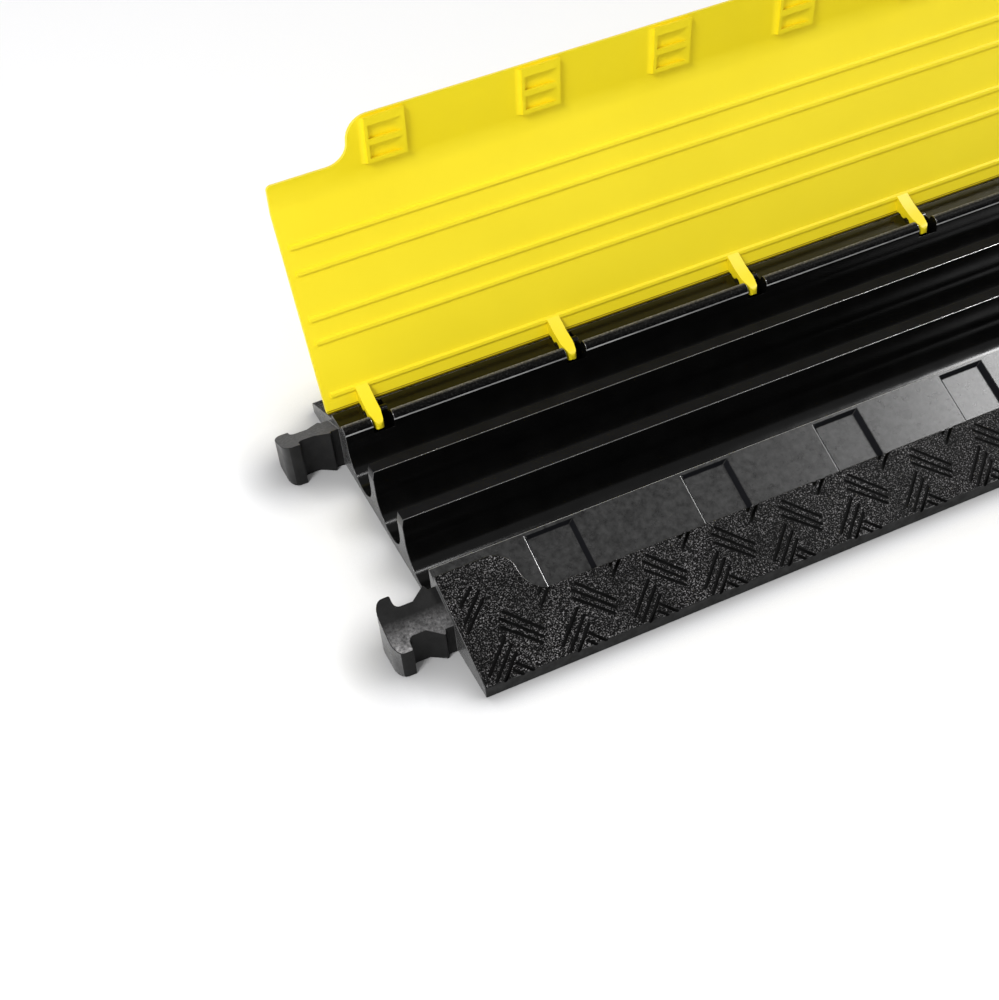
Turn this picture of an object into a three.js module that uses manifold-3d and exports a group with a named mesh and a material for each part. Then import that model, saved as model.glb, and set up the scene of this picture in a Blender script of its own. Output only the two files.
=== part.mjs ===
// A section of floor cord cover: a rubber base with three cable channels between two ramps, and a lid
// that turns on pins behind the rear channel. Lengths in millimetres. X runs along the channels, Y from
// the front ramp to the rear ramp, Z up from the floor. The lid stands open.
import * as THREE from 'three';
import { mergeVertices } from 'three/addons/utils/BufferGeometryUtils.js';
import Module from 'manifold-3d';

const wasm = await Module();
wasm.setup();

// Base section.
const sectionLength = 1000;
const footHalfWidth = 141.4;
const lipHeight = 7.5;
const rampTopHeight = 40.7; // where the ramp meets the front channel
const channelHeight = 41.6;
const middleChannelWidth = 38.6;
const sideChannelWidth = 39.6;
const dividerWidth = 8.8;
const channelFloor = 4;
const rearShelfHeight = 33.3;
const rearShelfY = 92.8; // rear edge of the shelf
const rearShelfStep = 2.6; // run of the step down to the rear ramp
const ridgeRadius = 4.5;
const endBevelRun = 1.3;
const endBevelDrop = 5.9;

// Deck that the lid's front strip lies on.
const deckDrop = 4.2; // below the ramp's face
const deckFrontY = -102.8;
const deckEndY = -75.3; // front edge of the deck near each end
const deckNeckLength = 32.7; // length of that narrow part
const outerCurveX = 14;
const outerCurveY = 12.1;
const innerCurveX = 14.3;

// Recesses in the deck, for the lid's blocks.
const recessDepth = 4;
const recessLength = 31.8;
const recessFirst = 59.6; // from the end to the first recess
const recessSecond = 103.7; // from the first recess to the second
const recessCount = 10;
const recessRim = 2; // wall left beside the front channel
const recessChamfer = 1.6;
const recessSlope = 2.8;

// Hinge.
const hingeY = 83.7;
const hingeZ = 31.6;
const pinRadius = 3;
const openAngle = 107.9;
const fingerCount = 8;
const slotFirst = 26.5; // from the left end to the middle of the first slot
const slotLast = 18; // from the middle of the last slot to the right end
const slotLength = 14.2;
const slotRadius = 16.3;
const slotRearReach = 7.9;

// Lid.
const lidThickness = 4.1;
const lidRest = 0.35; // gap over the dividers and the deck
const lidEndPlay = -1.9; // the lid lies this far along X in its slots
const lidRearY = 81;
const lidRearRoundOver = 0.3;
const lidRearRoundUnder = 3.8;
const lidCorner = 3;
const lidFrontGap = 0.5;
const lidCurveShift = 6.5; // its end curves start this far inside the deck's
const ribWidth = 2;
const ribHeight = 1.8;
const ribSlope = 1.1; // run of each rib's sloping front side
const ribRearFaces = [-31.5, -14.5, 16.4, 32, 68.5];
const ribEndGap = 5;
const blockLength = 26.2;
const blockOffset = 1.5; // from the recess's middle to the block's middle, end play left out
const blockHeight = 3.7;
const blockRearY = -70.3;
const blockFrontY = -100.6;
const pocketDepth = 3;
const pocketWidth = 9.1;
const pocketRim = 2.1;
const pocketRearRim = 2.6;
const pocketWeb = 4;
const pocketSlope = 5;
const fingerOffset = -0.5; // from the slot's middle to the finger's, end play left out
const fingerWidth = 8.6;
const fingerTipWidth = 6;
const fingerReach = 15.9;
const hookGap = 0.35;
const hookOuterRadius = 6.5;

// Connectors on the left end, and their sockets in the right end.
const frontConnectorY = 89.7;
const rearConnectorY = 92.8;
const connectorDrop = 4;
const connectorReach = 38;
const headLength = 11;
const headWidth = 32.4;
const headCornerX = 6;
const headCornerY = 9.5;
const neckWidth = 17.6;
const flangeWidth = 29.2;
const flangeLength = 7.4;
const flangeFlare = 8.6; // run of the slope from the neck out to the flange
const flangeGroove = 2.6; // depth of the groove behind the flange
const flangeGrooveLength = 6.4;
const socketGap = 0.7;

const halfLength = sectionLength / 2;
const outerWallY = middleChannelWidth / 2 + dividerWidth + sideChannelWidth;
const rampRise = (rampTopHeight - lipHeight) / (footHalfWidth - outerWallY);
const rampTop = (y) => lipHeight + (footHalfWidth - Math.abs(y)) * rampRise;
const deckTop = (y) => rampTop(y) - deckDrop;
const rad = (degrees) => (degrees * Math.PI) / 180;

// A closed three.js geometry as a solid.
function solid(geometry) {
  const bare = geometry.clone();
  bare.deleteAttribute('normal');
  bare.deleteAttribute('uv');
  const merged = mergeVertices(bare, 1e-4);
  const vertProperties = new Float32Array(merged.attributes.position.array);
  const triVerts = new Uint32Array(merged.index.array);
  return new wasm.Manifold(new wasm.Mesh({ numProp: 3, vertProperties, triVerts }));
}

function extruded(points, depth, matrix) {
  const shape = new THREE.Shape(points.map(([a, b]) => new THREE.Vector2(a, b)));
  const geometry = new THREE.ExtrudeGeometry(shape, { depth, bevelEnabled: false });
  return solid(geometry.applyMatrix4(matrix));
}

// An outline in Y and Z, run along X from x0 to x1.
function alongX(points, x0, x1) {
  const matrix = new THREE.Matrix4().makeBasis(
    new THREE.Vector3(0, 1, 0),
    new THREE.Vector3(0, 0, 1),
    new THREE.Vector3(1, 0, 0),
  );
  return extruded(points, x1 - x0, matrix.setPosition(x0, 0, 0));
}

// An outline in X and Z, run towards the front from y0 to y1 with the given rise per millimetre of Y.
function towardsFront(points, y0, y1, z0, rise) {
  const matrix = new THREE.Matrix4().makeBasis(
    new THREE.Vector3(1, 0, 0),
    new THREE.Vector3(0, 0, 1),
    new THREE.Vector3(0, -1, -rise),
  );
  return extruded(points, y0 - y1, matrix.setPosition(0, y0, z0));
}

// A plan outline in X and Y, run up from z0 to z1.
function upwards(points, z0, z1) {
  return extruded(points, z1 - z0, new THREE.Matrix4().setPosition(0, 0, z0));
}

// Points on an ellipse from one angle to another, in degrees.
function arc(a, b, radiusA, radiusB, from, to, steps) {
  return Array.from({ length: steps + 1 }, (_, i) => {
    const angle = rad(from + ((to - from) * i) / steps);
    return [a + radiusA * Math.cos(angle), b + radiusB * Math.sin(angle)];
  });
}

function joined(solids) {
  return solids.reduce((sum, next) => sum.add(next));
}

function turnedRound(points) {
  return points.map(([x, y]) => [-x, y]).reverse();
}

// The front edge of the deck, or of the lid, from the left end to the right end. The edge is narrow
// at the ends and swings out to the full width in two quarter curves.
function frontEdge(shift, gap) {
  const curveY = deckEndY - outerCurveY;
  const outerX = -halfLength + deckNeckLength + shift;
  const left = [
    [-halfLength, deckEndY + gap],
    ...arc(outerX, curveY, outerCurveX, outerCurveY + gap, 90, 0, 8),
    ...arc(
      outerX + outerCurveX + innerCurveX, curveY,
      innerCurveX, curveY - deckFrontY - gap, 180, 270, 8,
    ).slice(1),
  ];
  return [...left, ...turnedRound(left)];
}

// Where each recess starts, measured from the left end.
function recessStarts() {
  const last = sectionLength - recessFirst - recessLength;
  const second = recessFirst + recessSecond;
  const nextToLast = last - recessSecond;
  const inner = recessCount - 2;
  const pitch = (nextToLast - second) / (inner - 1);
  const middle = Array.from({ length: inner }, (_, i) => second + i * pitch);
  return [recessFirst, ...middle, last].map((x) => x - halfLength);
}

const slotPitch = (sectionLength - slotFirst - slotLast) / (fingerCount - 1);
const slotCentres = Array.from({ length: fingerCount }, (_, i) => slotFirst + i * slotPitch - halfLength);

function baseBody() {
  const outline = [
    [-footHalfWidth, 0],
    [footHalfWidth, 0],
    [footHalfWidth, lipHeight],
    [rearShelfY + rearShelfStep, rampTop(rearShelfY + rearShelfStep)],
    [rearShelfY, rearShelfHeight],
    ...arc(outerWallY + ridgeRadius, rearShelfHeight, ridgeRadius, ridgeRadius, 0, 180, 14),
    [outerWallY - 0.5, rearShelfHeight],
    [outerWallY - 0.5, channelHeight],
    [-outerWallY, channelHeight],
    [-outerWallY, rampTop(outerWallY)],
    [-footHalfWidth, lipHeight],
  ];
  return alongX(outline, -halfLength, halfLength);
}

// A channel with upright walls and a half-round floor.
function channel(centreY, width) {
  const radius = width / 2;
  const outline = [
    [centreY + radius, channelHeight + 10],
    [centreY - radius, channelHeight + 10],
    ...arc(centreY, channelFloor + radius, radius, radius, 180, 360, 20),
  ];
  return alongX(outline, -halfLength - 1, halfLength + 1);
}

function deckPocket() {
  const frontY = deckFrontY - 20;
  const section = [
    [frontY, deckTop(frontY)],
    [-outerWallY + 1, deckTop(outerWallY - 1)],
    [-outerWallY + 1, channelHeight + 20],
    [frontY, channelHeight + 20],
  ];
  const plan = [
    ...frontEdge(0, 0).map(([x, y], i, all) => [i === 0 ? x - 1 : i === all.length - 1 ? x + 1 : x, y]),
    [halfLength + 1, -outerWallY + 1],
    [-halfLength - 1, -outerWallY + 1],
  ];
  return alongX(section, -halfLength - 1, halfLength + 1).intersect(upwards(plan, 0, 80));
}

function recess(x0) {
  const x1 = x0 + recessLength;
  const outline = [
    [x0, 20],
    [x0, 0],
    [x0 + recessChamfer, -recessChamfer],
    [x0 + recessChamfer, -recessDepth],
    [x1 - recessSlope, -recessDepth],
    [x1, 0],
    [x1, 20],
  ];
  const rearY = -outerWallY - recessRim;
  return towardsFront(outline, rearY, deckFrontY, deckTop(rearY), rampRise);
}

// The room that a finger turns in, open at the top.
function slot(centreX) {
  const outline = [
    [hingeY + slotRearReach, hingeZ + 20],
    [hingeY - slotRadius, hingeZ + 20],
    ...arc(hingeY, hingeZ, slotRadius, slotRadius, 180, 300, 12),
    [hingeY + slotRearReach, hingeZ - slotRadius * 0.87],
  ];
  return alongX(outline, centreX - slotLength / 2, centreX + slotLength / 2);
}

function pin(centreX) {
  const reach = slotLength / 2 + 1;
  const circle = arc(hingeY, hingeZ, pinRadius, pinRadius, 0, 360, 24).slice(1);
  return alongX(circle, centreX - reach, centreX + reach);
}

// The bevel on the ends of the dividers.
function endBevel(side) {
  const outline = [
    [halfLength - endBevelRun, channelHeight],
    [halfLength, channelHeight - endBevelDrop],
    [halfLength + 2, channelHeight - endBevelDrop],
    [halfLength + 2, channelHeight + 2],
    [halfLength - endBevelRun, channelHeight + 2],
  ];
  const points = side > 0 ? outline : turnedRound(outline);
  return towardsFront(points, outerWallY - 1, -outerWallY + 1, 0, 0);
}

// Plan of a connector, pointing away from the base along -X. The gap widens it into its socket.
function connectorPlan(centreY, gap) {
  const head = headWidth / 2 + gap;
  const neck = neckWidth / 2 + gap;
  const flange = flangeWidth / 2 + gap;
  const tip = -connectorReach - gap;
  const heel = -connectorReach + headLength + gap;
  const heelRadius = 3.4;
  const toeRadius = 1;
  const flare = -flangeLength - flangeFlare;
  const upper = [
    [1, flange - flangeGroove],
    [-flangeGrooveLength + 1, flange - flangeGroove],
    [-flangeGrooveLength, flange],
    [-flangeLength, flange],
    [flare, neck],
    ...arc(heel + heelRadius, neck + heelRadius, heelRadius, heelRadius, 270, 180, 5),
    ...arc(heel - toeRadius, head - toeRadius, toeRadius, toeRadius, 0, 90, 4),
    ...arc(tip + headCornerX, head - headCornerY, headCornerX, headCornerY, 90, 180, 7),
  ];
  const lower = upper.map(([x, y]) => [x, -y]).reverse();
  return [...upper, ...lower].map(([x, y]) => [x, centreY + y]);
}

function connector(side, end, gap) {
  const centreY = side > 0 ? rearConnectorY : frontConnectorY;
  const plan = connectorPlan(side * centreY, gap);
  const wide = [centreY - headWidth, centreY + headWidth];
  const drop = connectorDrop - gap;
  const top = wide.map((y) => [side * y, rampTop(y) - drop]);
  const section = [[side * wide[0], -1], [side * wide[1], -1], top[1], top[0]];
  const ring = side > 0 ? section : section.reverse();
  const bottom = gap > 0 ? -1 : 0;
  return upwards(plan, bottom, 60)
    .intersect(alongX(ring, -60, 60))
    .translate([end, 0, 0]);
}

let baseSolid = baseBody()
  .subtract(channel(0, middleChannelWidth))
  .subtract(channel(-outerWallY + sideChannelWidth / 2, sideChannelWidth))
  .subtract(channel(outerWallY - sideChannelWidth / 2, sideChannelWidth))
  .subtract(deckPocket())
  .subtract(joined(recessStarts().map(recess)))
  .subtract(joined(slotCentres.map(slot)))
  .add(joined(slotCentres.map(pin)))
  .subtract(endBevel(1))
  .subtract(endBevel(-1));
for (const side of [-1, 1]) {
  baseSolid = baseSolid
    .add(connector(side, -halfLength, 0))
    .subtract(connector(side, halfLength, socketGap));
}

// The lid is made closed, then turned open about the hinge line.
const lidUnder = channelHeight + lidRest;
const stripUnder = (y) => deckTop(y) + lidRest;
const lidOver = lidUnder + lidThickness;
const bendUnderY = -footHalfWidth + (lidUnder - lidRest + deckDrop - lipHeight) / rampRise;
const bendOverY = -footHalfWidth + (lidOver - lipHeight) / rampRise;

function lidPlate() {
  const frontY = deckFrontY - 5;
  const over = lidRearRoundOver;
  const under = lidRearRoundUnder;
  const section = [
    [frontY, rampTop(frontY)],
    [frontY, stripUnder(frontY)],
    [bendUnderY, lidUnder],
    ...arc(lidRearY - under, lidUnder + under, under, under, 270, 360, 9),
    ...arc(lidRearY - over, lidOver - over, over, over, 0, 90, 2),
    [bendOverY, lidOver],
  ];
  const corner = (x, y, from) => arc(x, y, lidCorner, lidCorner, from, from + 90, 5);
  const front = frontEdge(lidCurveShift, lidFrontGap);
  const plan = [
    ...corner(-halfLength + lidCorner, deckEndY + lidFrontGap + lidCorner, 180),
    ...front.slice(1, -1),
    ...corner(halfLength - lidCorner, deckEndY + lidFrontGap + lidCorner, 270),
    ...corner(halfLength - lidCorner, lidRearY - lidCorner, 0),
    ...corner(-halfLength + lidCorner, lidRearY - lidCorner, 90),
  ];
  return alongX(section, -halfLength, halfLength).intersect(upwards(plan, 0, 80));
}

function rib(rearFace) {
  const outline = [
    [rearFace, lidUnder + 1],
    [rearFace - ribWidth - ribSlope, lidUnder + 1],
    [rearFace - ribWidth - ribSlope, lidUnder],
    [rearFace - ribWidth, lidUnder - ribHeight],
    [rearFace, lidUnder - ribHeight],
  ];
  return alongX(outline, -halfLength + ribEndGap, halfLength - ribEndGap);
}

// A block under the lid's front strip, with two pockets in it.
function block(recessStart) {
  const x0 = recessStart + recessLength / 2 + blockOffset - blockLength / 2;
  const x1 = x0 + blockLength;
  const outline = [
    [x1, 1],
    [x0 - blockHeight, 1],
    ...arc(x0 - blockHeight, -blockHeight, blockHeight, blockHeight, 90, 0, 6),
    [x1, -blockHeight],
  ];
  const body = towardsFront(outline, blockRearY, blockFrontY, stripUnder(blockRearY), rampRise);
  const hollow = [
    [x0 + pocketRim, -blockHeight - 1],
    [x1 - pocketRim + 0.8, -blockHeight - 1],
    [x1 - pocketRim, -blockHeight],
    [x1 - pocketRim - pocketSlope, pocketDepth - blockHeight],
    [x0 + pocketRim, pocketDepth - blockHeight],
  ];
  const pockets = [0, 1].map((i) => {
    const rearY = blockRearY - pocketRearRim - i * (pocketWidth + pocketWeb);
    return towardsFront(hollow, rearY, rearY - pocketWidth, stripUnder(rearY), rampRise);
  });
  return body.subtract(joined(pockets));
}

// A hooked finger as it stands with the lid open: a ring that grips the pin, and above it a tongue
// that runs from the lid's last rib down towards the rear channel.
function finger(centreX) {
  const inner = pinRadius + hookGap;
  const hook = [
    ...arc(hingeY, hingeZ, hookOuterRadius, hookOuterRadius, 20, 250, 24),
    ...arc(hingeY, hingeZ, inner, inner, 250, 20, 16),
  ];
  const tongue = [
    [6.6, 1.4],
    [7.7, 2.3],
    [11.4, 2.3],
    [13.6, 3.4],
    [16.2, 12.6],
    [13.4, 13.7],
    [4.5, 9.4],
    [-2.4, 7.2],
    [-11.5, 5],
    [-14.2, 4.2],
    [-fingerReach + 0.4, 2.9],
    [-fingerReach, 1.4],
    [-fingerReach, -0.6],
    [-fingerReach + 0.4, -1.7],
    [-14.2, -2.2],
    [-5.6, -3.2],
    [-4.2, 0],
    ...arc(0, 0, inner + 0.6, inner + 0.6, 170, 10, 8),
  ].map(([y, z]) => [hingeY + y, hingeZ + z]);
  const half = fingerWidth / 2;
  const body = joined([hook, tongue].map((outline) => alongX(outline, -half, half)));
  const tipHalf = fingerTipWidth / 2;
  const tipY = hingeY - fingerReach;
  const plan = [
    [-half, hingeY + 30],
    [-half, hingeY - hookOuterRadius],
    ...arc(0, tipY + 3, tipHalf, 3, 180, 360, 8),
    [half, hingeY - hookOuterRadius],
    [half, hingeY + 30],
  ];
  return body.intersect(upwards(plan, 0, 60)).translate([centreX, 0, 0]);
}

const closedLid = joined([lidPlate(), ...ribRearFaces.map(rib), ...recessStarts().map(block)]);
const lidSolid = joined([
  closedLid
    .translate([0, -hingeY, -hingeZ])
    .rotate([-openAngle, 0, 0])
    .translate([0, hingeY, hingeZ]),
  ...slotCentres.map((x) => finger(x + fingerOffset)),
]).translate([lidEndPlay, 0, 0]);

// A solid as a named mesh.
function piece(name, made, color, roughness) {
  const data = made.getMesh();
  const step = data.numProp;
  const positions = new Float32Array(data.numVert * 3);
  for (let i = 0; i < data.numVert; i += 1) {
    positions.set(data.vertProperties.subarray(i * step, i * step + 3), i * 3);
  }
  const geometry = new THREE.BufferGeometry();
  geometry.setAttribute('position', new THREE.BufferAttribute(positions, 3));
  geometry.setIndex(new THREE.BufferAttribute(new Uint32Array(data.triVerts), 1));
  geometry.computeVertexNormals();
  const material = new THREE.MeshStandardMaterial({ color, roughness, metalness: 0 });
  const mesh = new THREE.Mesh(geometry, material);
  mesh.name = name;
  return mesh;
}

const group = new THREE.Group();
group.add(piece('base', baseSolid, 0x1b1b1c, 0.6));
group.add(piece('lid', lidSolid, 0xe8cf1e, 0.45));

export default group;
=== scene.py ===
import math

import bmesh
import bpy
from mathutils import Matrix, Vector


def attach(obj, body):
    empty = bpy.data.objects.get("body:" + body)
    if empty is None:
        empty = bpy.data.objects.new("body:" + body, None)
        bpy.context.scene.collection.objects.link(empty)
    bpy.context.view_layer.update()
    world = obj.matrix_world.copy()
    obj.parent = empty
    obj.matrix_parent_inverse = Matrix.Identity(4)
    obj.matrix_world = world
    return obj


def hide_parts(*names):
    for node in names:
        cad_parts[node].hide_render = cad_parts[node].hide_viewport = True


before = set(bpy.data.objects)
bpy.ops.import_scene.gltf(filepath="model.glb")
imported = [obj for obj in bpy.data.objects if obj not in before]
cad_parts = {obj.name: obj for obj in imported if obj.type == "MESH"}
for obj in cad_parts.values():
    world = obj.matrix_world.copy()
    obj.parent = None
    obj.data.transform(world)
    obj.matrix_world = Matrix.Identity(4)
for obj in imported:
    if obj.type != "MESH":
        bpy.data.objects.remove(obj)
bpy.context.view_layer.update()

MM = 0.001

# Sizes of the base that its zones and grooves follow.
HALF_LENGTH = 500 * MM
FOOT_HALF = 141.4 * MM
WALL_Y = 67.7 * MM
LIP_TOP = 7.5 * MM
RAMP_TOP = 40.7 * MM
RISE = (RAMP_TOP - LIP_TOP) / (FOOT_HALF - WALL_Y)
CHANNEL_TOP = 41.6 * MM
SHELF_TOP = 33.3 * MM
SHELF_REAR_Y = 92.9 * MM
RIDGE_REAR_Y = 76.7 * MM
HINGE_FRONT_Y = WALL_Y - 1 * MM
HINGE_Y = 83.7 * MM
HINGE_Z = 31.6 * MM
PIN_RADIUS = 3 * MM

# Where the open lid's rounded rear edge begins.
LID_END_Y = 95.4 * MM
LID_END_Z = 34.7 * MM

# Points closer than WELD are one, and edges that turn less than FLAT_TURN are dissolved. Edges that
# turn more than ROUNDED_TURN are rounded, to these widths, and those past SHARP_TURN shade sharp.
WELD = 2e-6
FLAT_TURN = math.radians(0.3)
ROUNDED_TURN = math.radians(35)
SHARP_TURN = math.radians(50)
BASE_EDGE = 0.35 * MM
LID_EDGE = 0.5 * MM
EDGE_SEGMENTS = 2
SHADING_WEIGHT = 80

# Rays that tell how near other things are.
NEARNESS_SAMPLES = 24

# A noise's useful values lie between these two.
NOISE_LOW = 0.3
NOISE_HIGH = 0.7

# Greys and blacks of the rubber.
BLACK = (0.002, 0.002, 0.002)
WORN_BLACK = (0.004, 0.004, 0.004)
FLECK_GREY = (0.38, 0.37, 0.375)


class Graph:
    """Short calls for building one material's nodes."""

    def __init__(self, name):
        self.material = bpy.data.materials.new(name)
        self.material.use_nodes = True
        self.tree = self.material.node_tree
        self.nodes = self.tree.nodes
        self.shader = self.nodes["Principled BSDF"]
        self.place = self.nodes.new("ShaderNodeTexCoord").outputs["Object"]

    def set(self, **values):
        for name, value in values.items():
            self.shader.inputs[name.replace("_", " ")].default_value = value

    def link(self, a, b):
        self.tree.links.new(a, b)

    def into(self, name, value):
        """Feed one of the shader's own sockets."""
        self.link(value, self.shader.inputs[name])

    def noise(self, scale, detail, rough=0.5):
        node = self.nodes.new("ShaderNodeTexNoise")
        node.inputs["Scale"].default_value = scale
        node.inputs["Detail"].default_value = detail
        node.inputs["Roughness"].default_value = rough
        self.link(self.place, node.inputs["Vector"])
        return node.outputs["Fac"]

    def math(self, kind, a, b, clamp=False):
        node = self.nodes.new("ShaderNodeMath")
        node.operation = kind
        node.use_clamp = clamp
        for socket, value in zip(node.inputs, (a, b)):
            if isinstance(value, (int, float)):
                socket.default_value = value
            else:
                self.link(value, socket)
        return node.outputs[0]

    def tones(self, value, low, high):
        """Two colours, from the low end of a noise's values to the high end."""
        node = self.nodes.new("ShaderNodeValToRGB")
        stops = ((NOISE_LOW, low), (NOISE_HIGH, high))
        for element, (place, colour) in zip(node.color_ramp.elements, stops):
            element.position = place
            element.color = (*colour, 1)
        self.link(value, node.inputs[0])
        return node.outputs[0]

    def grade(self, value, low, high, to_low=0.0, to_high=1.0, smooth=False):
        node = self.nodes.new("ShaderNodeMapRange")
        node.interpolation_type = "SMOOTHSTEP" if smooth else "LINEAR"
        for name, number in (
            ("From Min", low),
            ("From Max", high),
            ("To Min", to_low),
            ("To Max", to_high),
        ):
            node.inputs[name].default_value = number
        self.link(value, node.inputs["Value"])
        return node.outputs[0]

    def spread(self, noise, to_low, to_high):
        """A noise's useful values, spread between two numbers."""
        return self.grade(noise, NOISE_LOW, NOISE_HIGH, to_low, to_high)

    def mix(self, factor, a, b):
        node = self.nodes.new("ShaderNodeMix")
        node.data_type = "RGBA"
        self.link(factor, node.inputs[0])
        for socket, value in ((node.inputs[6], a), (node.inputs[7], b)):
            if isinstance(value, tuple):
                socket.default_value = (*value, 1)
            else:
                self.link(value, socket)
        return node.outputs[2]

    def across(self):
        """The place along the axis that runs from the front ramp to the rear one."""
        node = self.nodes.new("ShaderNodeSeparateXYZ")
        self.link(self.place, node.inputs[0])
        return node.outputs[1]

    def nearness(self, distance):
        """How open a point is to what stands within a distance of it."""
        node = self.nodes.new("ShaderNodeAmbientOcclusion")
        node.samples = NEARNESS_SAMPLES
        node.inputs["Distance"].default_value = distance
        return node.outputs["AO"]

    def bump(self, height, strength, distance):
        node = self.nodes.new("ShaderNodeBump")
        node.inputs["Strength"].default_value = strength
        node.inputs["Distance"].default_value = distance
        self.link(height, node.inputs["Height"])
        return node.outputs[0]


# Materials of the base, one for each kind of surface.


def grainy_rubber():
    """Coarse bright-flecked grain of the ramps."""
    grain_size = 0.85 * MM
    grain_height = 0.4 * MM
    patches_per_metre = 30
    g = Graph("rubber_grainy")
    grain = g.noise(1 / grain_size, 2, 0.6)
    patches = g.noise(patches_per_metre, 3, 0.6)
    fleck = g.math("POWER", g.grade(grain, 0.505, 0.71), 1.5, clamp=True)
    colour = g.mix(fleck, BLACK, FLECK_GREY)
    shade = g.grade(patches, 0.32, 0.68, 0.35, 1.0)
    g.into("Base Color", g.mix(shade, WORN_BLACK, colour))
    g.set(Roughness=0.45, IOR=1.08)
    g.into("Normal", g.bump(grain, 0.8, grain_height))
    return g.material


def skin(name, dark, light, cloud, rough, ior, relief=None, tint=(1, 1, 1)):
    """Black rubber with clouded colour and gloss; relief is the size and depth of its fine bumps."""
    cloud_noise = (4, 0.6)
    relief_noise = (3, 0.6)
    relief_strength = 0.5
    gloss_share = 0.6
    g = Graph(name)
    low, high = (tuple(shade * part for part in tint) for shade in (dark, light))
    g.into("Base Color", g.tones(g.noise(1 / cloud, *cloud_noise), low, high))
    g.into("Roughness", g.spread(g.noise(gloss_share / cloud, *cloud_noise), *rough))
    g.set(IOR=ior)
    if relief:
        size, depth = relief
        g.into("Normal", g.bump(g.noise(1 / size, *relief_noise), relief_strength, depth))
    return g.material


def connector_with_painted_sheen():
    """Connector skin with scuff texture. A painted sheen lightens it toward the near edge, and it is
    also a little lighter toward the rear.
    """
    scuff_size = 1.6 * MM
    scuff_depth = 0.12 * MM
    cloud_size = 9 * MM
    sheen_from = -87 * MM
    sheen_to = -106 * MM
    rear_from = 0.0
    rear_to = 80 * MM
    g = Graph("rubber_connector")
    y = g.across()
    scuff = g.noise(1 / scuff_size, 3, 0.7)
    cloud = g.noise(1 / cloud_size, 3, 0.6)
    # Painted sheen: the colour grows lighter toward the near edge.
    near = g.grade(y, sheen_from, sheen_to, 0.002, 0.17)
    far = g.grade(y, rear_from, rear_to, 0.0, 0.05)
    tone = g.math("ADD", near, far)
    tone = g.math("MULTIPLY", tone, g.spread(cloud, 0.45, 1.5))
    tone = g.math("MULTIPLY", tone, g.spread(scuff, 0.3, 1.7))
    g.into("Base Color", g.mix(tone, WORN_BLACK, (1.0, 0.98, 0.99)))
    g.into("Roughness", g.spread(cloud, 0.4, 0.6))
    g.set(IOR=1.2)
    g.into("Normal", g.bump(scuff, 0.6, scuff_depth))
    return g.material


def ridge_with_painted_highlight():
    """Grained ridge before the hinge, with a painted highlight along its crown."""
    grain_size = 1.3 * MM
    grain_depth = 0.15 * MM
    crown_from = RIDGE_REAR_Y - 6 * MM
    crown_to = RIDGE_REAR_Y - 2.4 * MM
    g = Graph("rubber_ridge")
    grain = g.noise(1 / grain_size, 3, 0.65)
    # Painted highlight: the crown is made lighter where the ridge would catch the light.
    crown = g.grade(g.across(), crown_from, crown_to, smooth=True)
    crown_highlight = g.math("MULTIPLY", crown, g.grade(grain, 0.35, 0.65, 0.04, 0.26))
    tone = g.math("ADD", crown_highlight, g.grade(grain, 0.5, 0.75, 0.0, 0.02))
    g.into("Base Color", g.mix(tone, BLACK, (1.0, 0.98, 0.97)))
    g.set(Roughness=0.5, IOR=1.08)
    g.into("Normal", g.bump(grain, 0.6, grain_depth))
    return g.material


def yellow(name, dark, light):
    """Plastic of the lid, in slightly uneven colour."""
    tone_per_metre = 9
    gloss_per_metre = 160
    pores_per_metre = 1200
    pore_depth = 0.05 * MM
    g = Graph(name)
    g.into("Base Color", g.tones(g.noise(tone_per_metre, 3, 0.55), dark, light))
    g.into("Roughness", g.spread(g.noise(gloss_per_metre, 2), 0.45, 0.55))
    g.set(IOR=1.32)
    g.into("Normal", g.bump(g.noise(pores_per_metre, 2), 0.12, pore_depth))
    return g.material


# A face counts as near a place within NEAR, and as looking along an axis past STEEP.
NEAR = 0.4 * MM
STEEP = 0.85
FACING_OUT = 0.6


def ramp_height(y):
    """Height of the ramps' faces at a distance from the middle."""
    return LIP_TOP + (FOOT_HALF - abs(y)) * RISE


def base_zone(centre, normal):
    """The zone of a face of the base, from where it lies and which way it looks."""
    y = abs(centre.y)
    if abs(normal.x) > STEEP and abs(abs(centre.x) - HALF_LENGTH) < NEAR:
        return "end"
    if abs(centre.x) > HALF_LENGTH + NEAR:
        if normal.z > STEEP:
            return "connector"
        if normal.x < -FACING_OUT:
            return "end" if centre.y < 0 else "rear_end"
        return "side"
    if centre.y > HINGE_FRONT_Y:
        from_pin = math.hypot(centre.y - HINGE_Y, centre.z - HINGE_Z)
        if from_pin < PIN_RADIUS + NEAR or abs(normal.x) > STEEP:
            return "deep"
        # The ridge's foot and the ledge before it take the light 'line' colour, which is a painted
        # highlight.
        if SHELF_TOP + NEAR / 4 < centre.z and centre.y < RIDGE_REAR_Y:
            at_foot = centre.z < SHELF_TOP + 3 * NEAR and centre.y < WALL_Y + NEAR
            return "line" if at_foot else "ridge"
        if centre.y < SHELF_REAR_Y and centre.z > SHELF_TOP - NEAR:
            return "line" if centre.y < WALL_Y else "bar"
    if normal.z > STEEP and y > WALL_Y:
        if abs(centre.z - ramp_height(y)) < NEAR:
            return "grainy"
        if centre.y < 0:
            return "satin"
    if centre.y < -FOOT_HALF + NEAR and normal.y < -STEEP:
        return "lip"
    if y < WALL_Y + NEAR and centre.z < CHANNEL_TOP - NEAR and normal.z > -STEEP:
        return "deep"
    return "plain"


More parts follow.
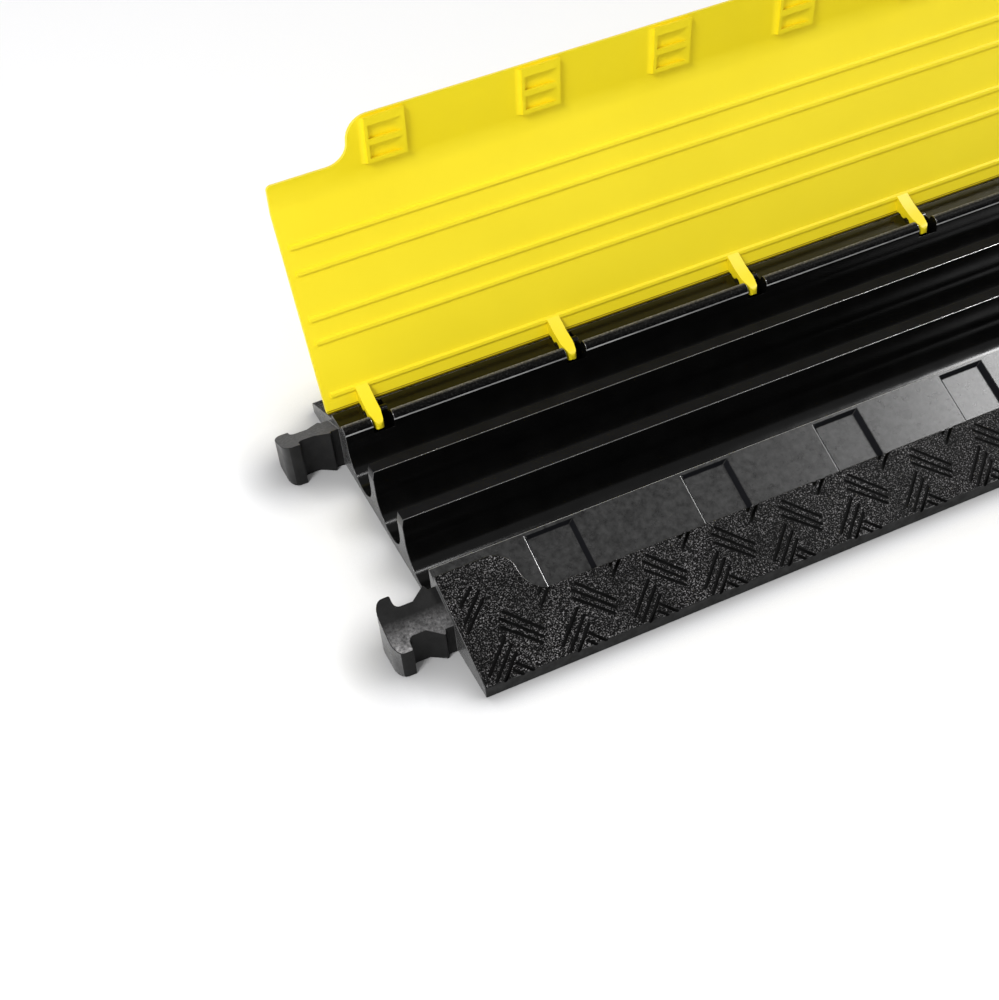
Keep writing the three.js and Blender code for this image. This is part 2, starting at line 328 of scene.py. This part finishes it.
def edge_zone(centre, normal):
    """The zone of a face that a rounded edge of the base is made of; the 'edge' and 'line' zones are
    lighter, painted highlights.
    """
    y = centre.y
    if abs(centre.x) > HALF_LENGTH + NEAR or abs(y) > FOOT_HALF - 2 * NEAR:
        return "side"
    if abs(centre.x) > HALF_LENGTH - 2 * NEAR:
        return "end"
    if centre.z > CHANNEL_TOP - 2 * NEAR:
        # Only the top edges that face forward take the painted highlight.
        return "edge" if normal.y < 0 else "plain"
    if y > WALL_Y - 3 * NEAR:
        # A light 'line' strip here is a painted highlight along the ridge's foot.
        if y < WALL_Y + NEAR and abs(centre.z - SHELF_TOP) < 2 * NEAR:
            return "line"
        on_ridge = y < RIDGE_REAR_Y and centre.z > SHELF_TOP
        on_shelf_end = abs(y - SHELF_REAR_Y) < 2 * NEAR
        return "edge" if on_ridge or on_shelf_end else "deep"
    if y > -WALL_Y + 2 * NEAR:
        return "deep"
    # A light 'line' strip here is a painted highlight along the front channel wall's edge.
    if y > -WALL_Y - 2 * NEAR:
        return "line"
    if normal.x > FACING_OUT / 2:
        return "edge"
    return "satin"


def lid_zone(centre, normal):
    """The lid's rounded rear edge, which faces down, takes a darker olive yellow, a painted shade.
    """
    low = LID_END_Y < centre.y and centre.z < LID_END_Z
    return "rim" if low and normal.y < FACING_OUT / 2 and abs(normal.x) < STEEP else "yellow"


def cleaned(node, name, materials, zone):
    """A copy of a CAD node's mesh without doubled points and needless edges, with its zones set."""
    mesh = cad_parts[node].data.copy()
    mesh.name = name
    mesh.materials.clear()
    names = list(materials)
    for key in names:
        mesh.materials.append(materials[key])
    bm = bmesh.new()
    bm.from_mesh(mesh)
    bmesh.ops.remove_doubles(bm, verts=bm.verts, dist=WELD)
    bmesh.ops.dissolve_limit(bm, angle_limit=FLAT_TURN, verts=bm.verts, edges=bm.edges)
    for face in bm.faces:
        face.material_index = names.index(zone(face.calc_center_median(), face.normal))
        face.smooth = True
    bm.to_mesh(mesh)
    bm.free()
    piece = bpy.data.objects.new(name, mesh)
    bpy.context.scene.collection.objects.link(piece)
    return piece


def settle(piece):
    """Turn what the modifiers make of a piece into its own mesh."""
    depsgraph = bpy.context.evaluated_depsgraph_get()
    mesh = bpy.data.meshes.new_from_object(piece.evaluated_get(depsgraph))
    piece.modifiers.clear()
    piece.data = mesh


def even_shading(piece):
    """Keep broad faces flat in the light, with the rounded edges taking up the turn."""
    piece.data.set_sharp_from_angle(angle=SHARP_TURN)
    weighted = piece.modifiers.new("even", "WEIGHTED_NORMAL")
    weighted.keep_sharp = True
    weighted.weight = SHADING_WEIGHT


def toned_edges(piece, names):
    """Give the faces of the rounded edges the zone of the place they lie in."""
    for face in piece.data.polygons:
        if names[face.material_index] == "edge":
            face.material_index = names.index(edge_zone(face.center, face.normal))


def round_edges(piece, width, material=-1, clamp=True):
    """Round every edge that turns enough; the new faces take a material's number."""
    bevel = piece.modifiers.new("round", "BEVEL")
    bevel.width = width
    bevel.segments = EDGE_SEGMENTS
    bevel.limit_method = "ANGLE"
    bevel.use_clamp_overlap = clamp
    bevel.angle_limit = ROUNDED_TURN
    bevel.material = material


# Grooves of the ramps: each stroke runs from one point to another, in millimetres from the left
# end and from the middle line, and comes again at every pitch.
GROOVE_PITCH = 45.78
GROOVE_HALF_WIDTH = 1.05 * MM
GROOVE_FLOOR_HALF = 0.6 * MM
GROOVE_DEPTH = 0.9 * MM
GROOVE_PAST_END = 12 * MM
SPARE_PITCHES = 2
END_STEPS = 4
CREST_STROKES = (
    ((16.7, 88.3), (7.5, 95.6)),
    ((20.4, 91.5), (5.6, 104.8)),
    ((20.8, 96.3), (4.4, 110.6)),
)
UPPER_STROKES = (
    ((28.2, 106.9), (45.1, 123.2)),
    ((24.8, 109.7), (43.1, 127.1)),
    ((23.4, 114.4), (41.2, 129.9)),
)
LOWER_STROKES = (
    ((22.5, 119.8), (5.2, 135.8)),
    ((24.3, 124.7), (7.7, 139.9)),
    ((24.6, 129.8), (12.3, 141.4)),
)
LIP_STROKES = (
    ((22.4, 134.7), (29.8, 141.6)),
    ((19.5, 137.9), (23.5, 141.6)),
)
STROKES = CREST_STROKES + UPPER_STROKES + LOWER_STROKES + LIP_STROKES


def groove_cutter(side):
    """All the grooves of one ramp, as one mesh of separate round-ended bars."""
    bm = bmesh.new()
    normal = Vector((0, side * RISE, 1)).normalized()
    repeats = int(2 * HALF_LENGTH / MM / GROOVE_PITCH)
    for i in range(-SPARE_PITCHES, repeats + SPARE_PITCHES):
        for start, end in STROKES:
            ends = []
            for x, y in (start, end):
                place = (x + i * GROOVE_PITCH) * MM - HALF_LENGTH
                ends.append(Vector((place, side * y * MM, ramp_height(y * MM))))
            if max(abs(p.x) for p in ends) > HALF_LENGTH + GROOVE_PAST_END:
                continue
            groove_bar(bm, ends, normal)
    mesh = bpy.data.meshes.new("grooves")
    bm.to_mesh(mesh)
    bm.free()
    cutter = bpy.data.objects.new("grooves", mesh)
    bpy.context.scene.collection.objects.link(cutter)
    return cutter


def groove_bar(bm, ends, normal):
    """One round-ended bar that flares from the groove's floor to above the ramp."""
    along = (ends[1] - ends[0]).normalized()
    across = normal.cross(along)
    top_half = 2 * GROOVE_HALF_WIDTH - GROOVE_FLOOR_HALF
    rings = []
    for lift, half in ((-GROOVE_DEPTH, GROOVE_FLOOR_HALF), (GROOVE_DEPTH, top_half)):
        ring = []
        for end, outward in ((ends[1], 1), (ends[0], -1)):
            for step in range(END_STEPS + 1):
                angle = math.pi * (step / END_STEPS - 0.5)
                reach = across * math.sin(angle) + along * math.cos(angle)
                ring.append(bm.verts.new(end + normal * lift + reach * half * outward))
        rings.append(ring)
    bm.faces.new(reversed(rings[0]))
    bm.faces.new(rings[1])
    for i in range(len(rings[0])):
        j = (i + 1) % len(rings[0])
        bm.faces.new((rings[0][i], rings[0][j], rings[1][j], rings[1][i]))


def cut(piece, cutter):
    """Cut the grooves, whose faces keep the cutter's material."""
    trim = piece.modifiers.new("cut", "BOOLEAN")
    trim.operation = "DIFFERENCE"
    trim.solver = "EXACT"
    trim.object = cutter
    trim.material_mode = "TRANSFER"
    settle(piece)
    bpy.data.objects.remove(cutter)


base_materials = {
    "plain": skin(
        "rubber_plain",
        dark=0.006,
        light=0.009,
        cloud=20 * MM,
        rough=(0.4, 0.55),
        ior=1.08,
        relief=(1.2 * MM, 0.06 * MM),
        tint=(0.95, 0.97, 1.15),
    ),
    "grainy": grainy_rubber(),
    "satin": skin(
        "rubber_satin",
        dark=0.0005,
        light=0.03,
        cloud=4 * MM,
        rough=(0.26, 0.3),
        ior=1.29,
        relief=(1.2 * MM, 0.05 * MM),
    ),
    "lip": skin("rubber_lip", dark=0.012, light=0.03, cloud=6 * MM, rough=(0.35, 0.5), ior=1.15),
    "groove": skin(
        "rubber_groove", dark=0.0015, light=0.004, cloud=9 * MM, rough=(0.5, 0.6), ior=1.08
    ),
    "deep": skin(
        "rubber_deep", dark=0.002, light=0.0035, cloud=16 * MM, rough=(0.13, 0.2), ior=1.27
    ),
    "ridge": ridge_with_painted_highlight(),
    # Painted highlight: a light grey strip that stands in for the bright lines at the ridge's foot
    # and the channel edge.
    "line": skin("rubber_painted_highlight_line", dark=0.22, light=0.5, cloud=30 * MM, rough=(0.3, 0.4), ior=1.3),
    "bar": skin(
        "rubber_bar",
        dark=0.002,
        light=0.004,
        cloud=12 * MM,
        rough=(0.12, 0.25),
        ior=1.33,
        relief=(2 * MM, 0.04 * MM),
    ),
    # Painted light: end faces and connector faces looking left get a lighter black, and the rear
    # ones a dimmer copy. This stands in for the light from the left.
    "end": skin("rubber_end_painted_light", dark=0.035, light=0.08, cloud=9 * MM, rough=(0.2, 0.32), ior=1.6),
    "rear_end": skin(
        "rubber_rear_end_painted_light", dark=0.012, light=0.026, cloud=7 * MM, rough=(0.3, 0.42), ior=1.3
    ),
    "connector": connector_with_painted_sheen(),
    "side": skin(
        "rubber_side",
        dark=0.008,
        light=0.014,
        cloud=10 * MM,
        rough=(0.35, 0.5),
        ior=1.22,
        relief=(1 * MM, 0.05 * MM),
    ),
    # Part real gloss from the high IOR, part painted highlight: lighter than the rubber around it.
    "edge": skin("rubber_edge_highlight", dark=0.02, light=0.05, cloud=3 * MM, rough=(0.2, 0.3), ior=2.2),
}
base = cleaned("base", "rubber_base", base_materials, base_zone)
round_edges(base, BASE_EDGE, list(base_materials).index("edge"), clamp=False)
settle(base)
toned_edges(base, list(base_materials))
for side in (-1, 1):
    cutter = groove_cutter(side)
    cutter.data.materials.append(base_materials["groove"])
    cut(base, cutter)
even_shading(base)

lid_materials = {
    "yellow": yellow("yellow_plastic", (0.83, 0.665, 0.008), (0.88, 0.71, 0.012)),
    # Painted shade: a darker copy of the lid's yellow for its rounded rear edge.
    "rim": yellow("yellow_rim_painted_shade", (0.3, 0.2, 0.002), (0.36, 0.26, 0.004)),
}
lid = cleaned("lid", "yellow_lid", lid_materials, lid_zone)
round_edges(lid, LID_EDGE)
settle(lid)
even_shading(lid)

for piece, node, body, slot in (
    (base, "base", "base_body", "base_rubber"),
    (lid, "lid", "lid_body", "lid_plastic"),
):
    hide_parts(node)
    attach(piece, body)


# Stage, light and camera, in metres and watts.
FLOOR_SIZE = 14
FLOOR_DROP = 0.0002
FLOOR_SHADED = (0.42, 0.42, 0.423)
FLOOR_OPEN = (0.96, 0.96, 0.97)
HORIZON_STRENGTH = 0.96
ZENITH_STRENGTH = 0.46


def floor():
    """Plain pale floor with painted shade: its colour darkens softly beside the part."""
    bpy.ops.mesh.primitive_plane_add(size=FLOOR_SIZE, location=(0, 0, -FLOOR_DROP))
    plane = bpy.context.object
    plane.name = "floor"
    g = Graph("floor_white")
    # Painted shade: the floor's colour goes to the shaded grey where things stand close.
    wide = g.math("POWER", g.nearness(90 * MM), 1.5)
    close = g.math("POWER", g.nearness(32 * MM), 4.2)
    g.into("Base Color", g.mix(g.math("MULTIPLY", wide, close), FLOOR_SHADED, FLOOR_OPEN))
    g.set(Roughness=0.9)
    plane.data.materials.append(g.material)


def studio():
    """White surroundings, dimmer overhead than at the horizon."""
    world = bpy.data.worlds.new("studio")
    world.use_nodes = True
    tree = world.node_tree
    background = tree.nodes["Background"]
    background.inputs[0].default_value = (1, 1, 1, 1)
    direction = tree.nodes.new("ShaderNodeTexCoord")
    height = tree.nodes.new("ShaderNodeSeparateXYZ")
    dimming = tree.nodes.new("ShaderNodeMapRange")
    dimming.inputs["From Min"].default_value = 0.0
    dimming.inputs["From Max"].default_value = 1.0
    dimming.inputs["To Min"].default_value = HORIZON_STRENGTH
    dimming.inputs["To Max"].default_value = ZENITH_STRENGTH
    tree.links.new(direction.outputs["Generated"], height.inputs[0])
    tree.links.new(height.outputs["Z"], dimming.inputs["Value"])
    tree.links.new(dimming.outputs[0], background.inputs[1])
    bpy.context.scene.world = world


def area_light(name, place, target, side, power):
    """A square lamp that faces its target."""
    data = bpy.data.lights.new(name, "AREA")
    data.shape = "RECTANGLE"
    data.size = side
    data.size_y = side
    data.energy = power
    light = bpy.data.objects.new(name, data)
    light.location = place
    light.rotation_euler = (Vector(target) - Vector(place)).to_track_quat("-Z", "Y").to_euler()
    bpy.context.scene.collection.objects.link(light)
    return light


def camera():
    """Low view from the front left, with the right end out of the picture."""
    data = bpy.data.cameras.new("camera")
    data.sensor_fit = "HORIZONTAL"
    data.sensor_width = 36
    data.lens = 60.196
    data.shift_x = 0.00069
    data.shift_y = 0.00008
    data.clip_end = 50
    viewer = bpy.data.objects.new("camera", data)
    viewer.location = (-0.6893, -0.71368, 0.71789)
    viewer.rotation_euler = [math.radians(a) for a in (46.4807, 4.7958, -24.6845)]
    bpy.context.scene.collection.objects.link(viewer)
    bpy.context.scene.camera = viewer
    bpy.context.scene.view_settings.view_transform = "Standard"


floor()
studio()
area_light("key", place=(-2.2, -1.25, 2.6), target=(-0.15, 0.1, 0.1), side=0.9, power=78)

# These two only shine in the rubber's gloss.
panel = area_light("panel", place=(1.2, -0.25, 1.5), target=(-0.2, 0, 0), side=0.7, power=95)
sparkle = area_light(
    "sparkle", place=(-0.117, -0.546, 1.887), target=(-0.3, 0, 0), side=0.14, power=2.2
)
for light in (panel, sparkle):
    light.visible_diffuse = False
camera()
